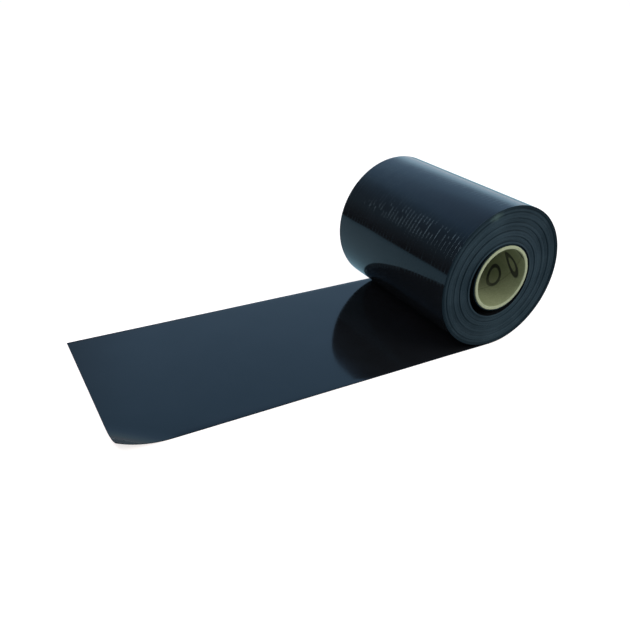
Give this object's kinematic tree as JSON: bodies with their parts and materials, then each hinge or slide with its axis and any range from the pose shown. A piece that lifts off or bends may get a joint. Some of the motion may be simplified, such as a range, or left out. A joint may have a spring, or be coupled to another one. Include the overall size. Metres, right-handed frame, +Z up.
{
  "type": "roll of damp proof course",
  "caption": "Black embossed plastic damp-proof strip wound on a cardboard tube, with a stretch of it paid out flat.",
  "frame": {"origin": "middle of the footprint, on the floor under the roll and its paid-out end", "axes": "+Z up; +Y along the roll's axis; the free end runs out towards -X and the roll stands at +X"},
  "size_m": [0.374, 0.15, 0.122],
  "materials": {
    "strip": "glossy, finely embossed",
    "tube": "matte, spiral-wound paper"
  },
  "bodies": {
    "root": {"dpc_strip": "strip", "core_tube": "tube"}
  },
  "joints": []
}
